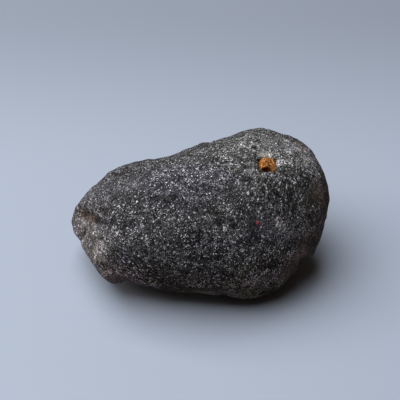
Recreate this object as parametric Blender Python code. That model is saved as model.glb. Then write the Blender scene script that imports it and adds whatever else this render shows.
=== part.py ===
"""A tektite: a pebble of dark natural glass, pear-shaped, frosted and pitted all over.

It lies on a small flat spot worn on its underside.  One bubble pit on the broad end is packed
with orange laterite clay.  Metres, +Z up, +X from the narrow nose to the broad end; the origin
is under the middle of the stone, on the surface it rests on.
"""
import math

import bmesh
import bpy
import numpy as np
from mathutils import Vector

MM = 0.001

# ---- driving dimensions, in millimetres -------------------------------------------------
LEAN_DEG = 40.0                  # the broad face leans back this far from level sight
HALF_DEPTH = 13.9                # half the thickness, square to the broad face
SKEW = -0.16                     # how far the thickness slides as it climbs the slope
CENTRE = (0.0, 0.4, 9.8)         # middle of the stone above the table

# Edge of the broad face: (along the stone, up the slope) from the middle, anticlockwise.
OUTLINE = (
    (21.0, 0.3), (21.0, 4.2), (19.5, 7.9), (17.1, 11.4), (13.6, 12.9), (9.9, 14.4),
    (6.6, 13.8), (4.0, 12.8), (1.5, 11.9), (-1.7, 10.4), (-6.6, 9.0), (-12.6, 7.9),
    (-14.9, 7.0), (-16.4, 5.4), (-18.8, 3.2), (-20.4, 0.9), (-21.4, -1.6), (-19.8, -4.2),
    (-18.1, -6.0), (-17.1, -8.2), (-15.4, -10.2), (-14.0, -11.1), (-11.6, -10.9),
    (-6.4, -11.9), (-1.3, -12.5), (3.5, -12.9), (5.9, -13.9), (8.0, -14.0), (11.2, -12.9),
    (13.4, -10.8), (14.6, -8.7), (15.2, -7.2), (16.3, -6.7), (17.9, -6.5), (18.5, -5.2),
    (20.3, -2.0),
)

# Broad worn flats: (outward direction along, up, out of the face), distance, rounding width.
FLATS = (
    ((-0.85, -0.10, 0.52), 17.9, 0.5),      # pale end of the nose
    ((0.80, -0.45, 0.38), 18.6, 0.6),       # undercut below the broad end
    ((0.10, 0.35, -0.93), 12.6, 1.2),       # back
    ((-0.55, 0.45, -0.70), 15.6, 1.2),      # back of the nose
    ((0.85, 0.20, -0.45), 18.2, 2.0),       # broad end, far side
    ((-0.01, -0.76, -0.65), 9.3, 0.6),      # underside
)

# Hollows (negative) and swellings (positive): middle (along, up, out), radii, turn in degrees
# in the plane of the broad face, height.
SWELLS = (
    ((-17.3, -0.8, 5.4), (3.0, 0.75, 6.0), -23.0, -0.45),   # groove in the nose
    ((-15.9, 0.15, 8.6), (2.6, 0.45, 6.0), -24.0, 0.28),      # ledge over the groove
    ((-18.7, -3.2, 3.2), (1.3, 0.38, 5.0), 50.0, -0.40),    # short crease below it
    ((-19.3, -4.0, 2.0), (1.0, 0.9, 5.0), 20.0, -0.35),     # notch in the nose's edge
    ((-14.6, -9.6, 5.0), (1.8, 1.6, 5.0), 0.0, 0.35),       # knob at the nose's foot
    ((-11.6, -10.6, 5.0), (1.1, 1.6, 5.0), 0.0, -0.20),     # nick beside the knob
    ((14.6, -8.0, 6.5), (0.9, 3.4, 5.0), 20.0, 0.45),       # ridge below the broad end
    ((1.3, 12.0, 0.0), (0.9, 0.9, 5.0), 0.0, -0.25),        # nick on the upper edge
    ((14.4, 12.8, 0.0), (1.0, 0.9, 5.0), 0.0, 0.20),        # bump on the upper edge
    ((-3.0, 0.5, -12.0), (6.5, 1.1, 6.0), -28.0, -0.80),    # long groove across the back
    ((-12.5, -0.5, -9.0), (2.8, 2.2, 6.0), 0.0, -0.85),     # thumb hollows on the back
    ((8.5, 5.5, -10.0), (3.4, 2.4, 6.0), 35.0, -0.90),
    ((9.5, -6.5, -9.0), (3.8, 2.0, 6.0), -20.0, -0.60),
    ((1.5, 6.0, -11.0), (3.6, 1.3, 6.0), 15.0, 0.50),       # low ridges on the back
    ((-6.5, -5.5, -9.5), (3.0, 1.2, 6.0), -35.0, 0.40),
    ((-9.5, 8.0, -5.0), (3.4, 6.0, 2.4), 0.0, -0.70),       # thumb hollows behind the top
    ((3.5, 11.0, -6.0), (3.6, 6.0, 2.2), 0.0, -0.75),
    ((13.5, 9.0, -5.0), (2.0, 6.0, 3.2), 0.0, -0.60),
    ((-2.2, 10.0, -3.5), (1.3, 6.0, 3.6), 0.0, 0.35),       # low ridge between two of them
    ((-16.5, 4.5, -4.5), (1.0, 6.0, 3.4), 0.0, -0.40),      # groove round the nose
    ((0.5, -8.0, -5.5), (7.0, 4.6, 4.6), 0.0, 0.70),        # low swell the stone rests on
)

# Low rolling relief all over: (wavelength, height).
ROLL = ((16.0, 0.20), (9.0, 0.14), (5.0, 0.09))
WAVES_PER_ROLL = 5
ROLL_SEED = 11

EDGE_REACH = 0.42                # how far over the surface the outline's small bends reach
RING_STEPS = 360

# The clay-filled bubble pit: place on the broad face (along, up), mouth, depth.
CLAY_PIT = (10.45, 8.0)
PIT_WIDTH = 3.5
PIT_HEIGHT = 3.4
PIT_DEPTH = 2.1
PIT_LUMP = 0.05                  # unevenness of the pits' walls, as a share of their size
PIT_SEED = 3

# Shallow shelf above the pit: shift across and up, width, height, depth.
SHELF_ACROSS = -0.55
SHELF_UP = 1.35
SHELF_WIDTH = 2.9
SHELF_HEIGHT = 1.8
SHELF_DEPTH = 0.55

# The clay: size, how far its middle lies below the mouth, and its unevenness.  It keeps
# 0.3 mm clear of the glass.
CLAY_WIDTH = 2.4
CLAY_HEIGHT = 2.1
CLAY_DEPTH = 1.7
CLAY_SINK = 0.95
CLAY_LUMP = 0.06
CLAY_SEED = 5

# Bare bubble pits: (along, up, side of the broad face, width, depth).
BUBBLES = (
    (8.3, 10.6, 1, 1.1, 0.5), (-13.5, 1.6, -1, 2.4, 1.0), (-5.5, 7.6, -1, 2.8, 1.1),
    (6.0, 1.0, -1, 2.2, 0.9), (12.4, 9.6, -1, 3.2, 1.2), (-16.0, -4.6, -1, 1.8, 0.8),
    (17.4, -2.6, -1, 2.2, 0.9), (1.2, 10.6, -1, 1.8, 0.7), (8.2, 12.2, -1, 1.4, 0.6),
    (-12.6, 6.6, -1, 1.6, 0.6), (13.6, 3.4, -1, 1.5, 0.6), (-8.6, 2.2, -1, 1.4, 0.6),
)

STONE_DETAIL = 5                 # icosphere subdivisions
LEDGE_TURN = -23.0               # where the ledge below the broad end lies, degrees round the face
LEDGE_REACH = 0.45               # how far round it the triangles are finer, radians
LEDGE_PULL = 0.5
PIT_DETAIL = 3
SAMPLE = 1e-4                    # step used when the surface's slope is measured
AIM_STEPS = 8                    # rounds of the search for a place on the face


def unit(vector):
    """The same direction at length one, for one vector or rows of them."""
    vector = np.asarray(vector, float)
    return vector / np.linalg.norm(vector, axis=-1, keepdims=True)


def lean_axes():
    """Rows: along the stone, up the leaning broad face, and straight out of it."""
    lean = math.radians(LEAN_DEG)
    return np.array((
        (1.0, 0.0, 0.0),
        (0.0, math.sin(lean), math.cos(lean)),
        (0.0, -math.cos(lean), math.sin(lean)),
    ))


def edge_radius(angle):
    """Distance to the broad face's edge: a closed smooth cubic in the angle through OUTLINE."""
    corners = np.array(OUTLINE)
    turn = np.mod(np.arctan2(corners[:, 1], corners[:, 0]), math.tau)
    order = np.argsort(turn)
    turn, reach = turn[order], np.hypot(corners[:, 0], corners[:, 1])[order]
    turn = np.concatenate((turn[-2:] - math.tau, turn, turn[:2] + math.tau))
    reach = np.concatenate((reach[-2:], reach, reach[:2]))
    slope = (reach[2:] - reach[:-2]) / (turn[2:] - turn[:-2])
    angle = np.mod(angle, math.tau)
    i = np.searchsorted(turn, angle, side="right") - 1
    span = turn[i + 1] - turn[i]
    t = (angle - turn[i]) / span
    rise = reach[i + 1] - reach[i]
    start, end = slope[i - 1] * span, slope[i] * span
    return reach[i] + t * (start + t * (3 * rise - 2 * start - end + t * (start + end - 2 * rise)))


def face_radius(angle, height):
    """Edge radius for directions at a height over the broad face, from 0 at its edge to 1.

    One over the radius squared is a sum of harmonics of the angle.  The even two are whole
    everywhere, the odd ones fade towards the middle of the face, so that it has no point
    there, and the outline's small bends reach only a little way over the edge.
    """
    ring = np.arange(RING_STEPS) * math.tau / RING_STEPS
    reach = edge_radius(ring) ** -2.0
    inward = np.sqrt(1 - height ** 2)
    plain = np.full_like(angle, reach.mean())
    for k in (1, 2, 3):
        share = 1.0 if k == 2 else inward
        plain += 2 * share * (reach * np.cos(k * ring)).mean() * np.cos(k * angle)
        plain += 2 * share * (reach * np.sin(k * ring)).mean() * np.sin(k * angle)
    near = np.exp(-((height / EDGE_REACH) ** 2))
    return (plain * (1 - near) + edge_radius(angle) ** -2.0 * near) ** -0.5


def soft_min(first, second, width):
    """The smaller of two lengths, with the step between them rounded over a width."""
    h = np.clip(0.5 + 0.5 * (second - first) / width, 0.0, 1.0)
    return second + (first - second) * h - width * h * (1 - h)


def roll_height(points):
    """Low rolling relief: for each wavelength a few plane waves in seeded directions."""
    rng = np.random.RandomState(ROLL_SEED)
    total = np.zeros(len(points))
    for wavelength, height in ROLL:
        ways = unit(rng.normal(size=(WAVES_PER_ROLL, 3)))
        phases = rng.uniform(0, math.tau, WAVES_PER_ROLL)
        waves = np.sin(points @ ways.T * math.tau / wavelength + phases)
        total += waves.sum(axis=1) * height / math.sqrt(WAVES_PER_ROLL)
    return total


def swell_height(points):
    """Sum of rounded hollows and swellings, each a bell curve in its own turned axes."""
    total = np.zeros(len(points))
    for middle, radii, turn, height in SWELLS:
        offset = points - np.array(middle)
        c, s = math.cos(math.radians(turn)), math.sin(math.radians(turn))
        along = offset[:, 0] * c + offset[:, 1] * s
        across = offset[:, 1] * c - offset[:, 0] * s
        bell = (along / radii[0]) ** 2 + (across / radii[1]) ** 2 + (offset[:, 2] / radii[2]) ** 2
        total += height * np.exp(-bell)
    return total


def stone_points(directions):
    """Surface of the stone for unit directions (along, up, out), as metres in the world.

    A cushion shape: the direction's part in the broad face reaches the outline, and the part
    out of it is half the thickness.  Flats, hollows and relief then move it along its ray.
    """
    angle = np.arctan2(directions[:, 1], directions[:, 0])
    reach = face_radius(angle, directions[:, 2])
    base = np.column_stack((
        directions[:, 0] * reach,
        directions[:, 1] * reach,
        directions[:, 2] * HALF_DEPTH + SKEW * directions[:, 1] * reach,
    ))
    radius = np.linalg.norm(base, axis=1)
    ray = base / radius[:, None]
    for facing, distance, width in FLATS:
        lift = ray @ unit(facing)
        flat = np.where(lift > 0.2, distance / np.maximum(lift, 0.2), 10 * distance)
        radius = soft_min(radius, flat, width)
    shape = ray * radius[:, None]
    radius = radius + swell_height(shape) + roll_height(shape)
    return (ray * radius[:, None] @ lean_axes() + np.array(CENTRE)) * MM


def gather(directions, aim, reach, pull):
    """Draw directions together round an aim, so that the triangles are finer there.

    The angle t from the aim becomes t * (1 - pull * exp(-(t / reach)^2)).
    """
    cosine = np.clip(directions @ aim, -1, 1)
    turn = np.arccos(cosine)
    side = directions - cosine[:, None] * aim
    side /= np.maximum(np.linalg.norm(side, axis=1, keepdims=True), 1e-9)
    turn = turn * (1 - pull * np.exp(-(turn / reach) ** 2))
    return np.cos(turn)[:, None] * aim + np.sin(turn)[:, None] * side


def on_face(along, up, side):
    """Direction that reaches a place on the broad face, or on its back for side -1."""
    angle = np.array([math.atan2(up, along)])
    height = np.array([0.7])
    for _ in range(AIM_STEPS):
        part = math.hypot(along, up) / face_radius(angle, height)
        height = np.sqrt(np.clip(1 - part ** 2, 0.0, 1.0))
    return np.array((part[0] * math.cos(angle[0]), part[0] * math.sin(angle[0]), side * height[0]))


def surface_frame(direction):
    """Point and axes (across, up the slope, outward) of the surface at a direction."""
    ways = [np.cross(direction, (0.0, 1.0, 0.0)), np.cross((1.0, 0.0, 0.0), direction)]
    near = unit(np.stack([direction] + [direction + SAMPLE * unit(way) for way in ways]))
    point, first, second = stone_points(near)
    outward = unit(np.cross(first - point, second - point))
    if outward @ (point - np.array(CENTRE) * MM) < 0:
        outward = -outward
    slope = unit(lean_axes()[1] - outward * (lean_axes()[1] @ outward))
    return point, np.cross(slope, outward), slope, outward


def upright(place):
    """The same frame with its first two axes level and upright as seen from before the face.

    Both still lie in the surface, so they lean out of the broad face where the surface does.
    """
    point, _, _, outward = place
    along, up, out = lean_axes()
    across = along - out * (along @ outward) / (out @ outward)
    return point, across, up - out * (up @ outward) / (out @ outward), outward


def material(name, colour, roughness):
    """A plain Principled finish."""
    finish = bpy.data.materials.new(name)
    finish.use_nodes = True
    shader = finish.node_tree.nodes["Principled BSDF"]
    shader.inputs["Base Color"].default_value = (*colour, 1.0)
    shader.inputs["Roughness"].default_value = roughness
    return finish


def add_object(name, form, finish=None):
    """A smooth-shaded object of that name made from a bmesh, which is freed."""
    mesh = bpy.data.meshes.new(name)
    form.to_mesh(mesh)
    form.free()
    mesh.shade_smooth()
    if finish:
        mesh.materials.append(finish)
    thing = bpy.data.objects.new(name, mesh)
    bpy.context.scene.collection.objects.link(thing)
    return thing


def lumpy_ball(form, place, size, lump, seed):
    """Add an ellipsoid of full size (across, up, outward) to form, roughened by lump.

    place is a surface frame; the ball's middle is at its point.
    """
    point, across, rise, outward = place
    ball = bmesh.ops.create_icosphere(form, subdivisions=PIT_DETAIL, radius=0.5)["verts"]
    rng = np.random.RandomState(seed)
    ways, phases = rng.normal(size=(4, 3)) * 5.0, rng.uniform(0, math.tau, 4)
    for vert in ball:
        spot = np.array(vert.co)
        swell = 1 + lump * np.sin(ways @ spot + phases).mean()
        moved = spot * np.array(size) * MM * swell
        vert.co = Vector(point + moved @ np.array((across, rise, outward)))


def shifted(place, across=0.0, up=0.0, out=0.0):
    """The same frame with its point moved by millimetres along its own axes."""
    point, x, y, z = place
    return point + (x * across + y * up + z * out) * MM, x, y, z


def cut_away(stone, name, form):
    """Take a closed form away from the stone with an exact Boolean."""
    cutter = add_object(name, form)
    cutter.hide_render = True
    cutter.display_type = "WIRE"
    cut = stone.modifiers.new(name, "BOOLEAN")
    cut.operation = "DIFFERENCE"
    cut.solver = "EXACT"
    cut.object = cutter


def add_stone():
    """The stone: a ball of triangles moved to its surface, less the pits and the shelf."""
    form = bmesh.new()
    bmesh.ops.create_icosphere(form, subdivisions=STONE_DETAIL, radius=1.0)
    form.verts.ensure_lookup_table()
    directions = unit(np.array([vert.co for vert in form.verts]))
    ledge = math.radians(LEDGE_TURN)
    ledge = np.array((math.cos(ledge), math.sin(ledge), 0.0))
    directions = gather(directions, ledge, LEDGE_REACH, LEDGE_PULL)
    for vert, spot in zip(form.verts, stone_points(directions)):
        vert.co = Vector(spot)
    stone = add_object("stone", form, material("tektite_glass", (0.045, 0.045, 0.05), 0.55))

    mouth = upright(surface_frame(on_face(*CLAY_PIT, 1)))
    pits = bmesh.new()
    lumpy_ball(pits, mouth, (PIT_WIDTH, PIT_HEIGHT, 2 * PIT_DEPTH), PIT_LUMP, PIT_SEED)
    for number, (along, up, side, width, depth) in enumerate(BUBBLES):
        radius = (width ** 2 / 4 + depth ** 2) / (2 * depth)
        centre = shifted(surface_frame(on_face(along, up, side)), out=radius - depth)
        lumpy_ball(pits, centre, (2 * radius,) * 3, PIT_LUMP, number)
    cut_away(stone, "pit_cutters", pits)

    shelf = bmesh.new()
    place = shifted(mouth, across=SHELF_ACROSS, up=SHELF_UP)
    lumpy_ball(shelf, place, (SHELF_WIDTH, SHELF_HEIGHT, 2 * SHELF_DEPTH), PIT_LUMP, PIT_SEED)
    cut_away(stone, "shelf_cutter", shelf)
    return stone


def wear_flat(stone):
    """Cut the underside off level at z = 0: the small flat spot that the stone rests on."""
    graph = bpy.context.evaluated_depsgraph_get()
    form = bmesh.new()
    form.from_mesh(stone.evaluated_get(graph).to_mesh())
    parts = form.verts[:] + form.edges[:] + form.faces[:]
    cut = bmesh.ops.bisect_plane(
        form, geom=parts, plane_co=(0, 0, 0), plane_no=(0, 0, -1), clear_outer=True)
    rim = [piece for piece in cut["geom_cut"] if isinstance(piece, bmesh.types.BMEdge)]
    bmesh.ops.contextual_create(form, geom=rim)
    stone.modifiers.clear()
    form.to_mesh(stone.data)
    form.free()


def add_clay():
    """The clay packed in the pit, as a lumpy ball sunk below the mouth."""
    form = bmesh.new()
    place = shifted(upright(surface_frame(on_face(*CLAY_PIT, 1))), out=-CLAY_SINK)
    lumpy_ball(form, place, (CLAY_WIDTH, CLAY_HEIGHT, CLAY_DEPTH), CLAY_LUMP, CLAY_SEED)
    return add_object("pit_clay", form, material("laterite_clay", (0.52, 0.20, 0.04), 0.9))


def build():
    for thing in list(bpy.data.objects):
        bpy.data.objects.remove(thing, do_unlink=True)
    stone = add_stone()
    wear_flat(stone)
    add_clay()


build()
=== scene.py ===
"""Looks of a tektite: a frosted pebble of dark natural glass with orange clay in one bubble pit.

Every form is worked out in millimetres and put into its mesh in metres.  The stone's skin and
the clay are closed cube-sphere grids.  Their finishes are procedural, on Object coordinates.
"""

import math

import bpy
import numpy as np
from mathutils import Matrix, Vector


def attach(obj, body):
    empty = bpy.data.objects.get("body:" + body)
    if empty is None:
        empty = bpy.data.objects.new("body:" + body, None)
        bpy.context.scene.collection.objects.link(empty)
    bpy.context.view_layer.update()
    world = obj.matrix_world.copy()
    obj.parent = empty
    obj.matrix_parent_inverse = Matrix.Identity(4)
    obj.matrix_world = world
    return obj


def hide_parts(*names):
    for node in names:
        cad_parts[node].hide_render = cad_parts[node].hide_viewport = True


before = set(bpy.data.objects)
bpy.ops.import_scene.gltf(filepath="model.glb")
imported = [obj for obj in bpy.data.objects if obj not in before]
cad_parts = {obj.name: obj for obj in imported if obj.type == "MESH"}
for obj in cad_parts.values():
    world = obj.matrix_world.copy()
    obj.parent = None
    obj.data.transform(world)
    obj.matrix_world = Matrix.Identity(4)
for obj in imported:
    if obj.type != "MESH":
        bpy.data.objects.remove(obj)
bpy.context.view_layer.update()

MM = 0.001
TINY = 1e-9                      # keeps a division off zero

# ---- the stone's form, in millimetres ------------------------------------------------------
LEAN_DEG = 40.0                  # the broad face leans back this far from level sight
HALF_DEPTH = 13.9                # half the thickness, square to the broad face
SKEW = -0.16                     # how far the thickness slides as it climbs the slope
CENTRE = (0.0, 0.4, 9.8)         # middle of the stone above the table

# Edge of the broad face: (along the stone, up the slope) from the middle, anticlockwise.
OUTLINE = (
    (21.0, 0.3), (21.0, 4.2), (19.5, 7.9), (17.1, 11.4), (13.6, 12.9), (9.9, 14.4),
    (6.6, 13.8), (4.0, 12.8), (1.5, 11.9), (-1.7, 10.4), (-6.6, 9.0), (-12.6, 7.9),
    (-14.9, 7.0), (-16.4, 5.4), (-18.8, 3.2), (-20.4, 0.9), (-21.4, -1.6), (-19.8, -4.2),
    (-18.1, -6.0), (-17.1, -8.2), (-15.4, -10.2), (-14.0, -11.1), (-11.6, -10.9),
    (-6.4, -11.9), (-1.3, -12.5), (3.5, -12.9), (5.9, -13.9), (8.0, -14.0), (11.2, -12.9),
    (13.4, -10.8), (14.6, -8.7), (15.2, -7.2), (16.3, -6.7), (17.9, -6.5), (18.5, -5.2),
    (20.3, -2.0),
)

# Broad worn flats: (outward direction along, up, out of the face), distance, rounding width.
FLATS = (
    ((-0.85, -0.10, 0.52), 17.9, 0.5),  # pale end of the nose
    ((0.80, -0.45, 0.38), 18.6, 0.6),   # undercut below the broad end
    ((0.10, 0.35, -0.93), 12.6, 1.2),   # back
    ((-0.55, 0.45, -0.70), 15.6, 1.2),  # back of the nose
    ((0.85, 0.20, -0.45), 18.2, 2.0),   # broad end, far side
    ((-0.01, -0.76, -0.65), 9.3, 0.6),  # underside
)
FLAT_LEAST = 0.2                 # a flat cuts only rays that go at least this far along its direction
FLAT_FAR = 10                    # how many of its distances away it lies for the other rays

# Hollows (negative) and swellings (positive): middle (along, up, out), radii, turn in degrees
# in the plane of the broad face, height.
SWELLS = (
    ((-17.3, -0.8, 5.4), (3.0, 0.75, 6.0), -23.0, -0.45),  # groove in the nose
    ((-15.9, 0.15, 8.6), (2.6, 0.45, 6.0), -24.0, 0.28),   # ledge over the groove
    ((-18.7, -3.2, 3.2), (1.3, 0.38, 5.0), 50.0, -0.40),   # short crease below it
    ((-19.3, -4.0, 2.0), (1.0, 0.9, 5.0), 20.0, -0.35),    # notch in the nose's edge
    ((-14.6, -9.6, 5.0), (1.8, 1.6, 5.0), 0.0, 0.35),      # knob at the nose's foot
    ((-11.6, -10.6, 5.0), (1.1, 1.6, 5.0), 0.0, -0.20),    # nick beside the knob
    ((14.6, -8.0, 6.5), (0.9, 3.4, 5.0), 20.0, 0.45),      # ridge below the broad end
    ((1.3, 12.0, 0.0), (0.9, 0.9, 5.0), 0.0, -0.25),       # nick on the upper edge
    ((14.4, 12.8, 0.0), (1.0, 0.9, 5.0), 0.0, 0.20),       # bump on the upper edge
    ((-3.0, 0.5, -12.0), (6.5, 1.1, 6.0), -28.0, -0.80),   # long groove across the back
    ((-12.5, -0.5, -9.0), (2.8, 2.2, 6.0), 0.0, -0.85),    # thumb hollows on the back
    ((8.5, 5.5, -10.0), (3.4, 2.4, 6.0), 35.0, -0.90),
    ((9.5, -6.5, -9.0), (3.8, 2.0, 6.0), -20.0, -0.60),
    ((1.5, 6.0, -11.0), (3.6, 1.3, 6.0), 15.0, 0.50),      # low ridges on the back
    ((-6.5, -5.5, -9.5), (3.0, 1.2, 6.0), -35.0, 0.40),
    ((-9.5, 8.0, -5.0), (3.4, 6.0, 2.4), 0.0, -0.70),      # thumb hollows behind the top
    ((3.5, 11.0, -6.0), (3.6, 6.0, 2.2), 0.0, -0.75),
    ((13.5, 9.0, -5.0), (2.0, 6.0, 3.2), 0.0, -0.60),
    ((-2.2, 10.0, -3.5), (1.3, 6.0, 3.6), 0.0, 0.35),      # low ridge between two of them
    ((-16.5, 4.5, -4.5), (1.0, 6.0, 3.4), 0.0, -0.40),     # groove round the nose
    ((0.5, -8.0, -5.5), (7.0, 4.6, 4.6), 0.0, 0.70),       # low swell the stone rests on
)

# Low rolling relief all over: (wavelength, height).
ROLL = ((16.0, 0.20), (9.0, 0.14), (5.0, 0.09))
WAVES_PER_ROLL = 5
ROLL_SEED = 11

EDGE_REACH = 0.42                # how far over the surface the outline's small bends reach
RING_STEPS = 360
SAMPLE = 1e-4                    # step used when the surface's slope is measured
AIM_STEPS = 8                    # rounds of the search for a place on the face
AIM_HEIGHT = 0.7                 # height over the face where that search starts

# The clay-filled bubble pit: place on the broad face (along, up).
CLAY_PIT = (10.45, 8.0)

# Bare bubble pits: (along, up, side of the broad face, width, depth).
BUBBLES = (
    (8.3, 10.6, 1, 1.1, 0.5), (-13.5, 1.6, -1, 2.4, 1.0), (-5.5, 7.6, -1, 2.8, 1.1),
    (6.0, 1.0, -1, 2.2, 0.9), (12.4, 9.6, -1, 3.2, 1.2), (-16.0, -4.6, -1, 1.8, 0.8),
    (17.4, -2.6, -1, 2.2, 0.9), (1.2, 10.6, -1, 1.8, 0.7), (8.2, 12.2, -1, 1.4, 0.6),
    (-12.6, 6.6, -1, 1.6, 0.6), (13.6, 3.4, -1, 1.5, 0.6), (-8.6, 2.2, -1, 1.4, 0.6),
)

# ---- fine relief -----------------------------------------------------------------------------
SKIN_STEPS = 128                 # quads along each edge of the skin's cube-sphere
CLAY_STEPS = 40
WELD = 1e5                       # directions are welded where they round alike, times this
PIT_REACH = 0.45                 # how far round the clay's pit the skin's grid is finer, radians
PIT_PULL = 0.5                   # and how far it is drawn together there

# The lattice noise mixes a cell's place and a seed into one number with these.
CELL_MIX = (374761393, 668265263, 1442695041)
SEED_MIX = 974634777
STIRS = ((15, 2246822519), (13, 3266489917))
LAST_SHIFT = 16
ALL_BITS = 0xFFFFFFFF

# Soft noise: (size, height, seed).
RELIEF = ((4.4, 0.18, 20), (2.2, 0.13, 21), (1.1, 0.09, 22), (0.55, 0.06, 23))
# Dimples: (spacing, reach, depth, share of the points, seed).
DIMPLES = ((2.4, 0.36, 0.16, 0.45, 60), (1.3, 0.40, 0.12, 0.5, 70))
# Flutes: middle and radii of the area, slant in degrees, width, length, height, seed.
FLUTES = (
    ((-9.0, -8.0, 6.0), (7.5, 4.5, 9.0), -52.0, 0.50, 5.0, 0.07, 90),
    ((9.0, 3.5, 9.0), (6.0, 5.0, 7.0), 82.0, 0.45, 4.0, 0.035, 91),
)
FADE_FROM, FADE_OVER = 0.1, 0.8  # the relief grows from this height above the table, over that much

# Bowls of the clay's pit: shift across and up, half width, half height, depth.
PIT_BOWLS = (
    ((0.0, 0.0), 1.52, 1.32, 2.1),
    ((-0.55, 1.35), 1.30, 0.75, 0.55),
)
PIT_SHOULDER = 3                 # power that makes the bowls square-shouldered
PIT_NEAR = 4.2                   # the bowls sink only what is this close to the surface
PIT_RAG, PIT_RAG_SIZE, PIT_RAG_SEED = 0.12, 0.8, 7  # unevenness of their edge
CLAY_SIZE = (2.8, 2.5, 1.8)      # width, height and depth of the clay
CLAY_SHOULDER = 4                # power that presses it square
CLAY_SINK = 0.95                 # how far the clay's middle lies below the stone's surface
# Lumps of the clay: (size, height, seed).
CLAY_LUMPS = ((1.0, 0.10, 40), (0.45, 0.11, 41), (0.22, 0.06, 42))
# Hollows in the clay's outer side: middle (across, up), radii, depth.
CLAY_HOLLOWS = (
    ((-0.15, -0.82), (0.80, 0.42), 1.0), ((-0.95, 0.85), (0.35, 0.30), 0.6),
    ((0.10, 0.15), (0.22, 0.18), 0.35), ((0.65, 0.35), (0.25, 0.18), 0.30),
    ((-0.50, -0.10), (0.18, 0.25), 0.25),
)

# ---- finishes ----------------------------------------------------------------------------------
WARM_TINT = (1.0, 0.71, 0.42, 1)       # low down
FACE_TINT = (1.0, 0.935, 1.03, 1)
TOP_TINT = (1.0, 0.97, 0.97, 1)
PALE_TINT = (1.0, 0.93, 0.96, 1)       # of the palest grains everywhere
PURPLISH = (1.05, 0.95, 1.10, 1)       # the two tints of the mottle
OLIVE = (0.97, 1.04, 0.88, 1)
WHITE = (1.0, 1.0, 1.0, 1)
RED = (0.30, 0.06, 0.08, 1)
# dark clay of the gaps between grains, also used for the painted shade in the hollow
CLAY_DARK = (0.05, 0.012, 0.002, 1)
CLAY_ORANGE = (0.36, 0.115, 0.020, 1)
CLAY_PALE = (0.80, 0.44, 0.20, 1)
CARD_NEAR = (0.275, 0.30, 0.37, 1)
# darker card at the back, painted fall-off of the light
CARD_FAR = (0.195, 0.213, 0.263, 1)

# Changes with the height above the table: from, to, value at the start and at the end.
WARM_TO_FACE = (4.0, 16.0, 0.0, 1.0)
FACE_TO_TOP = (16.0, 22.0, 0.0, 1.0)
FROST_AND_PAINTED_TOP_LIGHT = (16.5, 22.0, 0.0188, 0.0288)   # the paleness that the grain multiplies, paler towards the top as painted light from above
GRAIN_FADE = (9.0, 17.0, 1.15, 1.0)
MOTTLE_FADE = (3.0, 13.0, 1.0, 0.3)

# Paler and darker areas of the skin, some of them painted light and shade: middle and reach
# (along, up, out), turn in degrees, raggedness, softness, how many times the paleness.
SHADES = (
    ((-1.0, -4.8, 10.0), (19.0, 6.0, 11.0), 0.0, 0.5, 0.8, 1.10),  # lower face, painted light
    ((-1.0, 2.8, 12.0), (13.0, 4.0, 9.0), 0.0, 0.6, 0.8, 0.70),    # middle of the face, painted shade
    ((11.9, 2.4, 10.5), (4.8, 3.2, 7.0), 0.0, 0.6, 0.8, 0.40),     # dark middle right
    ((-6.4, -9.4, 9.0), (4.0, 2.2, 6.0), -10.0, 0.6, 0.8, 0.72),   # dark foot of the face
    ((9.5, 11.5, 5.0), (8.0, 5.0, 9.0), -20.0, 0.6, 0.8, 1.80),    # top of the broad end, painted light
    ((16.1, 9.4, 5.0), (4.2, 4.0, 7.0), 0.0, 0.6, 0.8, 2.7),       # its shoulder, painted light
    ((-16.6, 2.6, 5.5), (5.0, 4.2, 8.0), 0.0, 0.6, 0.8, 1.8),      # top of the nose, painted light
    ((8.38, 10.5, 6.9), (1.05, 0.90, 2.0), 0.0, 0.2, 0.35, 3.8),   # pale ring of a small pit
    ((8.38, 10.5, 6.9), (0.66, 0.55, 2.0), 0.0, 0.2, 0.4, 0.07),   # painted shade on its floor
    ((-1.6, -3.2, 13.9), (2.6, 2.6, 6.0), 0.0, 0.6, 0.7, 0.46),    # dark patches low on the face
    ((1.6, -5.8, 13.4), (3.4, 2.1, 5.0), 0.0, 0.6, 0.7, 0.46),
    ((11.0, -8.4, 9.4), (3.2, 2.1, 6.0), 0.0, 0.6, 0.7, 0.45),
    ((-6.0, -11.0, 7.3), (4.5, 1.8, 6.0), -8.0, 0.6, 0.8, 0.72),   # dark bottom edge
    ((3.3, -2.9, 13.8), (2.9, 1.8, 6.0), -40.0, 0.6, 0.8, 1.75),   # pale slanting patch
)
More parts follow.
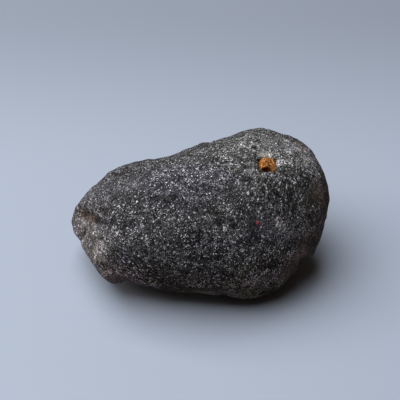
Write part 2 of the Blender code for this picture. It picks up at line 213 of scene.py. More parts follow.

# Smaller ones: middle and reach, how many times the paleness.
SMALL_SHADES = (
    # Darker.
    ((5.8, 2.4, 12.6), (2.4, 2.0, 5.0), 0.70),
    ((1.8, -9.6, 10.0), (2.6, 1.6, 5.0), 0.70),
    ((1.2, 7.9, 9.2), (3.6, 2.0, 6.0), 0.66),
    ((-5.2, 5.0, 11.2), (4.2, 2.2, 6.0), 0.70),
    ((5.7, 12.6, 2.4), (2.6, 1.6, 5.0), 0.70),
    ((-9.7, -7.7, 11.0), (2.5, 1.7, 5.0), 0.50),
    ((8.6, 13.4, 3.0), (2.2, 1.5, 5.0), 0.70),
    ((10.8, -7.0, 10.0), (3.2, 1.8, 5.0), 0.62),
    ((-4.3, -7.2, 12.4), (1.9, 1.7, 5.0), 0.70),
    ((-4.3, 0.1, 13.6), (2.0, 2.0, 5.0), 0.75),
    # Paler.
    ((15.4, 2.5, 9.1), (1.7, 1.5, 4.0), 1.5),
    ((-9.8, 7.9, 5.4), (3.0, 1.4, 5.0), 1.5),
    ((-13.2, -6.2, 8.5), (5.5, 7.0, 9.0), 1.6),
    ((-11.2, -3.6, 11.6), (3.8, 3.0, 6.0), 1.5),
    ((-9.0, -2.6, 13.0), (2.4, 2.4, 5.0), 1.45),
    ((9.0, 0.8, 12.3), (2.4, 3.0, 5.0), 1.25),
    ((-11.6, 5.0, 7.9), (3.8, 2.3, 6.0), 1.80),
    ((10.4, -1.9, 12.0), (2.2, 2.2, 5.0), 1.75),
    ((-6.5, -5.6, 13.0), (2.2, 2.0, 5.0), 1.30),
    ((8.4, 6.0, 10.5), (3.4, 1.6, 5.0), 1.45),
    ((3.0, 2.6, 13.2), (1.7, 1.7, 5.0), 1.35),
    ((16.4, -6.2, 5.0), (2.8, 2.2, 6.0), 2.1),
    ((13.4, -10.3, 4.9), (1.8, 1.6, 6.0), 1.95),
    ((5.4, -4.8, 13.0), (1.8, 1.7, 5.0), 1.40),
    ((14.4, -2.5, 9.4), (5.0, 2.4, 8.0), 1.85),
    ((18.2, 4.0, 6.0), (2.8, 3.4, 6.0), 2.2),
    ((8.2, -10.6, 8.4), (5.0, 2.6, 8.0), 1.65),
)
SMALL_EDGE = (0.0, 0.6, 0.8)           # their turn, raggedness and softness

# Stains, and some painted light and shade, laid on in turn: as SHADES, and then tint and its strength.
STAINS_AND_PAINTED_LIGHT = (
    ((-3.0, 5.0, 11.0), (12.0, 6.5, 9.0), 0.0, 0.5, 0.8, 1.0, (1.0, 0.945, 1.18), 0.9),  # bluer upper middle
    ((14.5, -1.5, 8.5), (6.5, 6.0, 9.0), 0.0, 0.6, 0.8, 1.35, (1.0, 0.87, 0.91), 0.8),  # broad end
    ((-18.1, -4.0, 3.6), (3.7, 5.6, 9.0), 15.0, 0.6, 0.45, 4.25, (1.0, 0.87, 0.83), 1.0),  # pale nose, partly painted light from the left
    ((-17.8, -0.20, 5.3), (4.0, 1.40, 8.0), -22.0, 0.7, 0.8, 0.58, (1.0, 0.69, 0.56), 1.0),  # brown groove, darkened with painted shade
    ((-15.8, 0.02, 8.8), (1.9, 0.36, 7.0), -24.0, 0.7, 0.6, 2.6, (1.0, 0.92, 0.87), 0.8),  # pale lip over it, partly painted highlight
    ((-15.3, 0.80, 9.7), (1.3, 0.75, 3.0), -15.0, 0.6, 0.7, 0.36, (1.0, 0.76, 0.68), 0.9),  # dark spot there
    ((-18.6, -3.0, 3.3), (1.2, 0.32, 4.0), 50.0, 0.4, 0.6, 0.5, (1.0, 0.80, 0.72), 0.8),  # painted shade in the crease below it
    ((-15.7, -3.5, 8.3), (0.9, 0.7, 4.0), -30.0, 0.6, 0.7, 0.6, (1.0, 0.96, 0.74), 0.8),  # olive spot
    ((-16.5, -7.2, 5.0), (2.0, 2.4, 7.0), 0.0, 0.6, 0.7, 0.9, (1.0, 0.84, 0.70), 0.8),  # brown speckle
    ((-13.0, -9.8, 6.6), (4.6, 1.9, 8.0), -4.0, 0.6, 0.7, 2.2, (1.0, 0.56, 0.48), 0.9),  # brown foot
    ((-11.8, -8.7, 9.2), (1.2, 0.4, 3.0), -25.0, 0.5, 0.6, 0.4, (1.0, 0.90, 0.80), 0.8),  # dark line above it
    ((-8.0, -11.0, 6.4), (4.4, 1.3, 4.0), -8.0, 0.5, 0.7, 1.2, (1.0, 0.62, 0.58), 0.85),  # reddish fringes
    ((3.9, -11.8, 7.3), (1.8, 1.0, 4.0), 0.0, 0.5, 0.7, 1.2, (1.0, 0.74, 0.66), 0.9),
    ((3.0, -12.9, 4.6), (8.0, 1.8, 4.5), 0.0, 0.6, 0.7, 3.6, (1.0, 0.86, 0.80), 0.5),
    ((19.5, 1.5, 2.0), (6.4, 8.0, 9.0), 0.0, 0.6, 0.8, 1.35, (1.0, 0.58, 0.29), 1.0),  # olive-brown end
    ((17.4, -4.6, 6.5), (4.2, 4.6, 8.0), 0.0, 0.6, 0.8, 1.35, (1.0, 0.70, 0.50), 0.9),
    ((14.5, -8.0, 7.0), (2.6, 4.4, 8.0), -28.0, 0.6, 0.7, 2.7, (1.0, 0.62, 0.50), 0.95),  # brown ridge
    ((9.85, 9.4, 7.9), (1.60, 0.74, 2.5), -6.0, 0.3, 0.35, 5.2, (1.0, 0.98, 0.76), 1.0),  # shelf of the pit
    ((12.7, 8.0, 8.3), (1.8, 1.0, 2.5), 0.0, 1.4, 0.7, 3.2, (1.0, 0.93, 0.92), 0.8),  # pale rim beside it, partly painted highlight
    ((8.80, 8.2, 9.2), (0.95, 1.8, 2.5), 8.0, 0.6, 0.8, 0.42, (1.0, 0.70, 0.48), 0.9),  # painted brown shadow on the rim beside it
    ((15.9, 11.1, 3.0), (2.2, 1.1, 5.0), -40.0, 0.5, 0.6, 1.5, (1.0, 0.84, 0.78), 0.9),  # brown top edge
    ((17.6, 3.2, 7.4), (1.5, 2.8, 5.0), -20.0, 0.5, 0.6, 0.9, (1.0, 0.84, 0.66), 0.9),  # dark brown band
    ((-11.6, -6.7, 10.7), (1.5, 1.1, 4.0), 0.0, 0.6, 0.6, 1.1, (1.0, 0.86, 1.12), 0.9),  # purplish patch
    ((6.6, -8.2, 10.0), (2.0, 1.4, 4.0), 0.0, 0.6, 0.6, 1.1, (1.0, 1.02, 0.76), 0.9),  # olive patch
)

# Areas with a fainter or stronger grain: middle and reach, turn in degrees, how many times.
GRAIN_AREAS = (
    ((-18.1, -4.0, 3.6), (3.7, 5.6, 9.0), 15.0, 0.58),   # nose facet
    ((-17.5, -0.5, 5.3), (2.9, 0.9, 8.0), -22.0, 0.65),  # brown groove
    ((-1.0, 6.0, 11.0), (11.0, 4.0, 8.0), 10.0, 1.15),   # upper middle
    ((-12.0, 4.0, 8.5), (5.0, 3.4, 7.0), 0.0, 0.82),     # upper left
    ((-12.8, -10.2, 6.0), (3.4, 1.3, 5.0), 0.0, 0.55),   # brown foot
    ((15.9, 11.3, 2.5), (2.0, 0.9, 5.0), -40.0, 0.45),   # brown band on the upper edge
    ((17.6, 3.2, 7.4), (1.4, 2.6, 5.0), -20.0, 0.45),    # dark band on the broad end
    ((9.85, 9.4, 7.9), (1.45, 0.66, 2.5), -6.0, 0.25),   # shelf of the pit
    ((2.0, -5.0, 12.5), (9.0, 4.5, 8.0), 0.0, 1.22),     # lower middle
    ((1.5, -12.6, 5.0), (13.0, 2.2, 8.0), 0.0, 0.62),    # bottom edge
    ((12.0, -8.0, 9.0), (6.0, 4.5, 8.0), 0.0, 1.20),     # below the broad end
    ((17.2, -5.2, 5.5), (3.4, 3.2, 8.0), 0.0, 0.42),     # ledge under the broad end
    ((14.4, -8.3, 6.0), (2.1, 4.6, 8.0), -26.0, 0.40),   # brown ridge
    ((20.0, 1.5, 3.0), (2.2, 6.5, 6.0), 0.0, 0.6),       # edge of the broad end
)
GRAIN_EDGE = (0.5, 0.6)                # their raggedness and softness

# Grit: slant in degrees, how far it is drawn out along it, size of the grains, detail, bend.
GLASS_GRIT = {
    "grains": (83.0, 1.35, 0.20, 2.0, 0.6),
    "dust": (0.0, 1.0, 0.12, 1.0, 0.3),
    "clumps": (0.0, 1.0, 0.70, 2.0, 0.8),
    "blots": (0.0, 1.0, 1.6, 2.0, 0.6),
    "clouds": (0.0, 1.0, 3.4, 1.0, 0.3),
    "scratches": (55.0, 4.0, 0.30, 1.0, 0.8),
    "mottle": (0.0, 1.0, 1.1, 2.0, 0.5),
}
CLAY_GRIT = {"grains": (0.0, 1.0, 0.45, 2.0, 0.8), "dust": (0.0, 1.0, 0.16, 1.0, 0.2)}
GRIT_ROUGHNESS = 0.6                   # how strong the finer detail inside a grain is

# Weights of the grit in the glass's fine and coarse pattern, and in the bumps, in millimetres.
FINE = {"grains": 6.0, "dust": 12.0, "scratches": 2.0}
COARSE = {"clumps": 3.6, "blots": 1.2, "clouds": 1.2}
GLASS_BUMPS = {"grains": 0.22, "dust": 0.08, "clumps": 0.20}
CLAY_BUMPS = {"grains": 0.30, "dust": 0.10}

# Streaks: middle and reach of the area, slant in degrees.
STREAKS = (
    ((-9.5, -8.0, 6.0), (9.0, 5.5, 10.0), -52.0),
    ((2.5, -10.5, 8.0), (7.5, 3.5, 8.0), -62.0),
    ((12.0, 3.5, 9.0), (7.5, 5.0, 8.0), 84.0),
)
STREAK_EDGE = (0.6, 0.9)
STREAK_GRIT = (7.0, 0.24, 1.0, 0.3)    # drawn out, size, detail, bend
STREAK_WEIGHT = 12.0
STREAK_GRAIN = 0.8                     # how many times the fine pattern among the streaks

# Short bright dashes, partly painted glints, on each of these slants in degrees.
DASH_SLANTS = (68.0, -38.0)
DASHES = {"Spacing": 0.30, "Reach": 0.50}
DASH_WEIGHT = 4.6
UNEVEN_POWER = 5.0                     # the higher, the fewer of them are bright

# Pale flecks all over, partly painted glints.
FLECK_SLANT = 40.0
FLECKS = {"Spacing": 0.62, "Share": 0.13, "Reach": 0.26}
SPOT_STRETCH = 2.0                     # how far dashes and flecks are drawn out

# Bright flakes, partly painted glints: middle, half size, how many times the paleness.
GLINT_FLAKES = (
    ((-1.44, 2.51, 13.2), 0.35, 4.0),
    ((-13.4, -1.9, 11.5), 0.45, 4.0),
    ((-12.9, -2.8, 11.8), 0.40, 6.0),
    ((3.5, -2.2, 13.9), 0.50, 4.5),
    ((4.3, -3.2, 13.6), 0.45, 5.0),
    ((6.3, -5.4, 12.6), 0.50, 4.0),
    ((15.9, -2.0, 8.5), 0.40, 5.0),
    ((10.9, 6.35, 9.9), 0.45, 3.0),
    ((-12.0, 4.0, 11.5), 0.35, 3.0),
    ((11.6, -1.0, 11.4), 0.35, 4.0),
)
GLINT_FLAKE_TALL, GLINT_FLAKE_DEEP = 1.1, 1.0      # height in half sizes, depth in millimetres
GLINT_FLAKE_EDGE = (1.0, 0.8)

# Single patches: middle, reach, turn, raggedness, softness.
RED_SPECK = ((8.55, -1.15, 12.8), (0.34, 0.40, 1.5), 0.0, 0.5, 0.6)
# Painted shade in the clay's lower hollow, laid on as dark clay.
CLAY_PAINTED_SHADE = ((10.15, 6.95, 9.0), (1.25, 0.70, 2.0), 0.0, 0.6, 0.5)
PATCH_RAG = {"Scale": 0.9, "Detail": 3.0}

# What one value gives another: from, to, result at the start and at the end.
BLOTS_TO_FINE = (0.35, 0.65, 0.85, 1.15)
BLOTS_TO_FLECKS = (0.40, 0.62, 0.25, 0.75)
PALENESS_TO_TINT = (0.05, 0.40, 0.0, 0.75)
GRAINS_TO_ROUGHNESS = (0.35, 0.65, 0.45, 0.75)
MOTTLE_TO_OLIVE = (0.38, 0.62, 0.0, 1.0)
GRAINS_TO_ORANGE = (0.38, 0.60, 0.0, 1.0)
DUST_TO_PALE = (0.5, 0.72, 0.0, 1.0)
DUST_TO_ROUGHNESS = (0.3, 0.7, 0.75, 0.95)
BACK_TO_FAR = (0.02, 0.085, 0.0, 1.0)  # metres behind the stone, on the table, where the card darkens as painted fall-off of the light
MOST_PALENESS = 0.80
SHINE = 0.05                           # specular level of the frosted glass and of the clay
CARD_ROUGHNESS = 0.65

# ---- camera and light ------------------------------------------------------------------------
LENS = 100.0
SENSOR = 36.0
FRAME_WIDTH = 0.0652             # width that the camera takes in at the stone
AIM_ALONG = -0.00016
AIM_UP = 0.00228
NEAREST, FARTHEST = 0.01, 10.0   # what the camera can see
# Lights, each aimed at the stone: place, size, watts, colour.
LIGHTS = (
    ((-0.18, 0.030, 0.50), (0.56, 0.50), 5.7, (0.94, 1.0, 1.02)),  # window overhead
    ((-0.55, 0.04, 0.20), (0.25, 0.25), 1.15, (1.0, 0.93, 0.84)),  # low light from the left
)
ROOM_GLOW = (0.055, 0.0429, 0.0297, 1)  # dim light from all round
BACKDROP = (0.07, 0.075, 0.088, 1)     # what a level view sees beyond the table
TABLE = 2.0                            # half the table's width


def unit(vector):
    """The same direction at length one, for one vector or rows of them."""
    vector = np.asarray(vector, float)
    return vector / np.linalg.norm(vector, axis=-1, keepdims=True)


def lean_axes():
    """Rows: along the stone, up the leaning broad face, and straight out of it."""
    lean = math.radians(LEAN_DEG)
    return np.array((
        (1.0, 0.0, 0.0),
        (0.0, math.sin(lean), math.cos(lean)),
        (0.0, -math.cos(lean), math.sin(lean)),
    ))


def turned(points, degrees):
    """Distances along and across a line turned by some degrees in the plane of the broad face."""
    c, s = math.cos(math.radians(degrees)), math.sin(math.radians(degrees))
    return points[:, 0] * c + points[:, 1] * s, points[:, 1] * c - points[:, 0] * s


def bell(points, middle, radii, turn):
    """Bell curve exp(-q), where q is the squared distance in radii in axes turned on the face."""
    offset = points - np.array(middle)
    along, across = turned(offset, turn)
    return np.exp(-((along / radii[0]) ** 2 + (across / radii[1]) ** 2 + (offset[:, 2] / radii[2]) ** 2))


def edge_radius(angle):
    """Distance to the broad face's edge: a closed smooth cubic in the angle through OUTLINE."""
    corners = np.array(OUTLINE)
    turn = np.mod(np.arctan2(corners[:, 1], corners[:, 0]), math.tau)
    order = np.argsort(turn)
    turn, reach = turn[order], np.hypot(corners[:, 0], corners[:, 1])[order]
    turn = np.concatenate((turn[-2:] - math.tau, turn, turn[:2] + math.tau))
    reach = np.concatenate((reach[-2:], reach, reach[:2]))
    slope = (reach[2:] - reach[:-2]) / (turn[2:] - turn[:-2])
    angle = np.mod(angle, math.tau)
    i = np.searchsorted(turn, angle, side="right") - 1
    span = turn[i + 1] - turn[i]
    t = (angle - turn[i]) / span
    rise = reach[i + 1] - reach[i]
    start, end = slope[i - 1] * span, slope[i] * span
    return reach[i] + t * (start + t * (3 * rise - 2 * start - end + t * (start + end - 2 * rise)))


def face_radius(angle, height):
    """Edge radius for directions at a height over the broad face, from 0 at its edge to 1.

    One over the radius squared is a sum of the first harmonics of the angle.  The second is
    whole everywhere, the odd two fade towards the middle of the face, so that it has no point
    there, and the outline's small bends reach only a little way over the edge.
    """
    ring = np.arange(RING_STEPS) * math.tau / RING_STEPS
    reach = edge_radius(ring) ** -2.0
    inward = np.sqrt(1 - height ** 2)
    plain = np.full_like(angle, reach.mean())
    for k in (1, 2, 3):
        share = 1.0 if k == 2 else inward
        plain += 2 * share * (reach * np.cos(k * ring)).mean() * np.cos(k * angle)
        plain += 2 * share * (reach * np.sin(k * ring)).mean() * np.sin(k * angle)
    near = np.exp(-((height / EDGE_REACH) ** 2))
    return (plain * (1 - near) + edge_radius(angle) ** -2.0 * near) ** -0.5


def soft_min(first, second, width):
    """The smaller of two lengths, with the step between them rounded over a width."""
    h = np.clip(0.5 + 0.5 * (second - first) / width, 0.0, 1.0)
    return second + (first - second) * h - width * h * (1 - h)


def roll_height(points):
    """Low rolling relief: for each wavelength a few plane waves in seeded directions."""
    rng = np.random.RandomState(ROLL_SEED)
    total = np.zeros(len(points))
    for wavelength, height in ROLL:
        ways = unit(rng.normal(size=(WAVES_PER_ROLL, 3)))
        phases = rng.uniform(0, math.tau, WAVES_PER_ROLL)
        waves = np.sin(points @ ways.T * math.tau / wavelength + phases)
        total += waves.sum(axis=1) * height / math.sqrt(WAVES_PER_ROLL)
    return total


def swell_height(points):
    """Sum of rounded hollows and swellings, each a bell curve in its own turned axes."""
    return sum(height * bell(points, middle, radii, turn) for middle, radii, turn, height in SWELLS)


def stone_points(directions):
    """Plain surface of the stone for unit directions (along, up, out), in millimetres.

    A cushion shape: the direction's part in the broad face reaches the outline, and the part
    out of it is half the thickness.  Flats, hollows and relief then move it along its ray.
    """
    angle = np.arctan2(directions[:, 1], directions[:, 0])
    reach = face_radius(angle, directions[:, 2])
    base = np.column_stack((
        directions[:, 0] * reach,
        directions[:, 1] * reach,
        directions[:, 2] * HALF_DEPTH + SKEW * directions[:, 1] * reach,
    ))
    radius = np.linalg.norm(base, axis=1)
    ray = base / radius[:, None]
    for facing, distance, width in FLATS:
        lift = ray @ unit(facing)
        flat = np.where(lift > FLAT_LEAST, distance / np.maximum(lift, FLAT_LEAST), FLAT_FAR * distance)
        radius = soft_min(radius, flat, width)
    shape = ray * radius[:, None]
    radius = radius + swell_height(shape) + roll_height(shape)
    return ray * radius[:, None] @ lean_axes() + np.array(CENTRE)


def on_face(along, up, side):
    """Direction that reaches a place on the broad face, or on its back for side -1."""
    angle = np.array([math.atan2(up, along)])
    height = np.array([AIM_HEIGHT])
    for _ in range(AIM_STEPS):
        part = math.hypot(along, up) / face_radius(angle, height)
        height = np.sqrt(np.clip(1 - part ** 2, 0.0, 1.0))
    return np.array((part[0] * math.cos(angle[0]), part[0] * math.sin(angle[0]), side * height[0]))


def surface_frame(direction):
    """Point and axes (across, up, outward) of the surface at a direction.

    The first two lie in the surface and look level and upright from straight before the face.
    """
    ways = [np.cross(direction, (0.0, 1.0, 0.0)), np.cross((1.0, 0.0, 0.0), direction)]
    near = unit(np.stack([direction] + [direction + SAMPLE * unit(way) for way in ways]))
    point, first, second = stone_points(near)
    outward = unit(np.cross(first - point, second - point))
    if outward @ (point - np.array(CENTRE)) < 0:
        outward = -outward
    along, up, out = lean_axes()
    across = along - out * (along @ outward) / (out @ outward)
    return point, across, up - out * (up @ outward) / (out @ outward), outward


# ---- grids and noise ---------------------------------------------------------------------------
def cube_sphere(steps):
    """Unit directions and quads of a cube blown up to a sphere, with its seams welded.

    On each of the six faces a grid (s, t) from -1 to 1 gives the direction
    face + tan(s * 45 deg) * first + tan(t * 45 deg) * second, brought to length one.
    """
    ramp = np.tan(np.linspace(-1, 1, steps + 1) * math.pi / 4)
    s, t = np.meshgrid(ramp, ramp, indexing="ij")
    numbers = np.arange((steps + 1) ** 2).reshape(steps + 1, steps + 1)
    directions, quads = [], []
    for axis in range(3):
        for sign in (1.0, -1.0):
            face, first = np.zeros(3), np.zeros(3)
            face[axis] = sign
            first[(axis + 1) % 3] = 1.0
            second = np.cross(face, first)
            corner = numbers + len(directions) * (steps + 1) ** 2
            around = (corner[:-1, :-1], corner[1:, :-1], corner[1:, 1:], corner[:-1, 1:])
            directions.append((face + s[..., None] * first + t[..., None] * second).reshape(-1, 3))
            quads.append(np.stack(around, -1).reshape(-1, 4))
    directions = unit(np.concatenate(directions))
    keys = np.round(directions * WELD).astype(np.int64)
    _, first_at, same = np.unique(keys, axis=0, return_index=True, return_inverse=True)
    return directions[first_at], same.reshape(-1)[np.concatenate(quads)]


def lattice(cell, seed):
    """A fixed random number from 0 to 1 for each whole-numbered cell (rows of three)."""
    mixed = (cell * np.array(CELL_MIX)).sum(axis=-1) + seed * SEED_MIX
    mixed = (mixed & ALL_BITS).astype(np.uint64)
    for shift, factor in STIRS:
        mixed = ((mixed ^ (mixed >> np.uint64(shift))) * np.uint64(factor)) & np.uint64(ALL_BITS)
    return (mixed ^ (mixed >> np.uint64(LAST_SHIFT))).astype(float) / ALL_BITS


def soft_noise(points, size, seed):
    """Smooth noise from -1 to 1: lattice numbers blended by a quintic in each direction."""
    place = points / size
    cell = np.floor(place).astype(np.int64)
    t = place - cell
    t = t * t * t * (t * (t * 6 - 15) + 10)
    total = np.zeros(len(points))
    for corner in np.ndindex(2, 2, 2):
        share = np.prod(np.where(corner, t, 1 - t), axis=1)
        total += share * lattice(cell + np.array(corner), seed)
    return total * 2 - 1


def cell_noise(points, size, seed):
    """Distance to the nearest of one scattered point per cell, in cell sizes, and its number."""
    place = points / size
    home = np.floor(place).astype(np.int64)
    best = np.full(len(points), np.inf)
    number = np.zeros(len(points))
    for step in np.ndindex(3, 3, 3):
        cell = home + np.array(step) - 1
        spot = cell + np.stack([lattice(cell, seed + k) for k in range(3)], -1)
        away = np.linalg.norm(place - spot, axis=1)
        nearer = away < best
        best = np.where(nearer, away, best)
        number = np.where(nearer, lattice(cell, seed + 3), number)
    return best, number


def add_object(name, data):
    """An object of that name in the scene, at the origin."""
    thing = bpy.data.objects.new(name, data)
    bpy.context.scene.collection.objects.link(thing)
    return thing


def add_mesh(name, points, quads, finish):
    """A closed smooth-shaded mesh object of that name, from points in millimetres."""
    mesh = bpy.data.meshes.new(name)
    mesh.vertices.add(len(points))
    mesh.vertices.foreach_set("co", (points * MM).astype(np.float32).ravel())
    mesh.loops.add(quads.size)
    mesh.loops.foreach_set("vertex_index", quads.astype(np.int32).ravel())
    mesh.polygons.add(len(quads))
    mesh.polygons.foreach_set("loop_start", np.arange(0, quads.size, 4, dtype=np.int32))
    mesh.update(calc_edges=True)
    mesh.shade_smooth()
    mesh.materials.append(finish)
    return add_object(name, mesh)


def outward_normals(points, quads):
    """Unit normals at the vertices: the sum of the crossed diagonals of the quads around each."""
    a, b, c, d = (points[quads[:, k]] for k in range(4))
    facing = np.cross(c - a, d - b)
    total = np.zeros_like(points)
    for k in range(4):
        np.add.at(total, quads[:, k], facing)
    return unit(total)


# ---- the stone's skin and the clay -----------------------------------------------------------
def gather(directions, aim, reach, pull):
    """Draw directions together round an aim, so that the grid is finer there.

    The angle t from the aim becomes t * (1 - pull * exp(-(t / reach)^2)).
    """
    cosine = np.clip(directions @ aim, -1, 1)
    turn = np.arccos(cosine)
    side = directions - cosine[:, None] * aim
    side /= np.maximum(np.linalg.norm(side, axis=1, keepdims=True), TINY)
    turn = turn * (1 - pull * np.exp(-(turn / reach) ** 2))
    return np.cos(turn)[:, None] * aim + np.sin(turn)[:, None] * side


def fine_relief(points):
    """Height of the small relief: soft noise at several sizes, round dimples and flutes.

    A dimple is depth * (1 - r^2)^2 inside its reach, in a share of the cells of scattered
    points.  The flutes are noise drawn out along one slant, under a bell curve.
    """
    total = np.zeros(len(points))
    for size, height, seed in RELIEF:
        total += height * soft_noise(points, size, seed)
    for spacing, reach, depth, share, seed in DIMPLES:
        away, number = cell_noise(points, spacing, seed)
        total -= depth * np.clip(1 - (away / reach) ** 2, 0, 1) ** 2 * (number < share)
    for middle, radii, slant, width, length, height, seed in FLUTES:
        along, across = turned(points, slant)
        drawn = np.column_stack((along / length, across / width, points[:, 2] / length))
        total += height * soft_noise(drawn, 1.0, seed) * bell(points, middle, radii, 0.0)
    return total


def sink_clay_pit(points):
    """Sink the clay's pit and the shelf above it, both square-shouldered bowls.

    Each goes down by depth * sqrt(1 - q), where q = |a|^3 + |b|^3 and a and b are the offsets
    along and up the face in half widths, with a ragged edge from soft noise.
    """
    point, across, rise, outward = surface_frame(on_face(*CLAY_PIT, 1))
    along, up, _ = lean_axes()
    ragged = 1 + PIT_RAG * soft_noise(points, PIT_RAG_SIZE, PIT_RAG_SEED)
    for shift, wide, high, depth in PIT_BOWLS:
        away = points - point - shift[0] * across - shift[1] * rise
        q = (np.abs(away @ along) / wide) ** PIT_SHOULDER + (np.abs(away @ up) / high) ** PIT_SHOULDER
        q = q * ragged ** PIT_SHOULDER
        near = np.abs(away @ outward) < PIT_NEAR
        points = points - np.where(near, np.sqrt(np.clip(1 - q, 0, 1)) * depth, 0)[:, None] * outward
    return points


def sink_bubbles(points):
    """Sink each bare bubble to its round cap, at the height sqrt(R^2 - d^2) - (R - depth)."""
    for along, up, side, width, depth in BUBBLES:
        point, _, _, outward = surface_frame(on_face(along, up, side))
        away = points - point
        lift = away @ outward
        gap2 = (away ** 2).sum(axis=1) - lift ** 2
        radius = (width ** 2 / 4 + depth ** 2) / (2 * depth)
        floor = radius - depth - np.sqrt(np.clip(radius ** 2 - gap2, 0, None))
        inside = (np.abs(lift) < width) & (gap2 < width ** 2 / 4)
        points = points - np.where(inside, np.clip(lift - floor, 0, depth), 0)[:, None] * outward
    return points


def stone_skin():
    """The stone's skin: its plain surface, small relief along the normals, pits and flat."""
    directions, quads = cube_sphere(SKIN_STEPS)
    aim = unit(on_face(*CLAY_PIT, 1))
    points = stone_points(gather(directions, aim, PIT_REACH, PIT_PULL))
    local = (points - np.array(CENTRE)) @ lean_axes().T
    fade = np.clip((points[:, 2] - FADE_FROM) / FADE_OVER, 0, 1)
    points = points + (fine_relief(local) * fade)[:, None] * outward_normals(points, quads)
    points = sink_bubbles(sink_clay_pit(points))
    points[:, 2] = np.maximum(points[:, 2], 0.0)
    return points, quads


def clay_skin():
    """The clay: a lumpy ball pressed square, with hollows in its outer side.

    A direction's part in the face is stretched from a circle to |x|^4 + |y|^4 = 1.  Lumps of
    soft noise lie on it along the direction, and each hollow is a bell curve.
    """
    directions, quads = cube_sphere(CLAY_STEPS)
    point, across, rise, outward = surface_frame(on_face(*CLAY_PIT, 1))
    square = (np.abs(directions[:, :2]) ** CLAY_SHOULDER).sum(axis=1) ** (1 / CLAY_SHOULDER)
    round_ = np.linalg.norm(directions[:, :2], axis=1)
    stretch = np.where(round_ > TINY, round_ / np.maximum(square, TINY), 1.0)
    wide, high, deep = CLAY_SIZE
    shape = directions * np.column_stack((stretch * wide, stretch * high, np.full(len(stretch), deep))) / 2
    lumps = sum(height * soft_noise(shape, size, seed) for size, height, seed in CLAY_LUMPS)
    shape = shape + directions * lumps[:, None]
    for middle, radii, depth in CLAY_HOLLOWS:
        gap2 = (((shape[:, :2] - np.array(middle)) / np.array(radii)) ** 2).sum(axis=1)
        shape[:, 2] -= np.where(directions[:, 2] > 0, depth * np.exp(-gap2), 0)
    return point - CLAY_SINK * outward + shape @ np.array((across, rise, outward)), quads


# ---- finishes ----------------------------------------------------------------------------------
def feed(tree, socket, source):
    """Give an input its source: a link from an output, or a plain value."""
    if isinstance(source, bpy.types.NodeSocket):
        tree.links.new(source, socket)
    else:
        socket.default_value = source


def add_node(tree, kind, sources=None, **settings):
    """A shader node with its own fields set, and its named inputs fed by sockets or values."""
    node = tree.nodes.new("ShaderNode" + kind)
    for field, value in settings.items():
        setattr(node, field, value)
    for name, source in (sources or {}).items():
        feed(tree, node.inputs[name], source)
    return node


def calc(tree, operation, *sources):
    """The result of a Math node."""
    return add_node(tree, "Math", dict(enumerate(sources)), operation=operation).outputs[0]


def vector_calc(tree, operation, sources):
    """The vector that a Vector Math node gives."""
    return add_node(tree, "VectorMath", sources, operation=operation).outputs[0]


def ramp(tree, value, low, high, start=0.0, end=1.0):
    """A value's smooth rise from start at low to end at high."""
    node = add_node(tree, "MapRange", {"Value": value, "From Min": low, "From Max": high,
                                       "To Min": start, "To Max": end},
                    interpolation_type="SMOOTHSTEP")
    return node.outputs["Result"]


def blend(tree, factor, first, second, mode="MIX"):
    """Two colours mixed by a factor."""
    node = add_node(tree, "Mix", data_type="RGBA", blend_type=mode)
    sockets = {socket.identifier: socket for socket in node.inputs}
    feed(tree, sockets["Factor_Float"], factor)
    feed(tree, sockets["A_Color"], first)
    feed(tree, sockets["B_Color"], second)
    return next(socket for socket in node.outputs if socket.identifier == "Result_Color")


def times_inside(tree, value, mask, times):
    """A value, so many times as large where a mask is 1, and as it was where it is 0."""
    return calc(tree, "MULTIPLY", value, calc(tree, "MULTIPLY_ADD", mask, times - 1, 1.0))


def new_group(name, inputs, outputs):
    """A shader node group with named inputs (kind, default) and float outputs."""
    tree = bpy.data.node_groups.new(name, "ShaderNodeTree")
    for label, (kind, default) in inputs.items():
        socket = tree.interface.new_socket(label, in_out="INPUT", socket_type="NodeSocket" + kind)
        socket.default_value = default
    for label in outputs:
        tree.interface.new_socket(label, in_out="OUTPUT", socket_type="NodeSocketFloat")
    entry = tree.nodes.new("NodeGroupInput")
    leave = tree.nodes.new("NodeGroupOutput")
    return tree, entry.outputs, leave.inputs


def use_group(tree, group, sources, output):
    """One output of a group placed in a tree with its own values."""
    node = tree.nodes.new("ShaderNodeGroup")
    node.node_tree = group
    for name, source in sources.items():
        feed(tree, node.inputs[name], source)
    return node.outputs[output]


def grit_group():
    """Grit: grains of about one size, from low in the gaps to high on the crests, about 0.5."""
    tree, entry, leave = new_group("grit", {
        "Place": ("Vector", (0, 0, 0)), "Size": ("Float", 0.4), "Detail": ("Float", 2.0),
        "Bend": ("Float", 1.0)}, ("Grit",))
    scale = calc(tree, "DIVIDE", 1.0, entry["Size"])
    noise = add_node(tree, "TexNoise", {
        "Vector": entry["Place"], "Scale": scale, "Detail": entry["Detail"],
        "Roughness": GRIT_ROUGHNESS, "Distortion": entry["Bend"]})
    tree.links.new(noise.outputs[0], leave["Grit"])
    return tree


def flecks_group():
    """Flecks: round spots at scattered points, one in each cell.

    Mask is 1 on the spots of a share of the cells.  Uneven has them all, most of them faint.
    """
    tree, entry, leave = new_group("flecks", {
        "Place": ("Vector", (0, 0, 0)), "Spacing": ("Float", 1.0), "Share": ("Float", 0.3),
        "Reach": ("Float", 0.3)}, ("Mask", "Uneven"))
    scale = calc(tree, "DIVIDE", 1.0, entry["Spacing"])
    scaled = vector_calc(tree, "SCALE", {0: entry["Place"], "Scale": scale})
    cells = add_node(tree, "TexVoronoi", {"Vector": scaled, "Scale": 1.0})
    number = add_node(tree, "SeparateColor", {0: cells.outputs["Color"]}).outputs[0]
    chosen = calc(tree, "LESS_THAN", number, entry["Share"])
    spot = ramp(tree, cells.outputs["Distance"], 0.0, entry["Reach"], 1.0, 0.0)
    tree.links.new(calc(tree, "MULTIPLY", chosen, spot), leave["Mask"])
    uneven = calc(tree, "POWER", number, UNEVEN_POWER)
    tree.links.new(calc(tree, "MULTIPLY", uneven, spot), leave["Uneven"])
    return tree


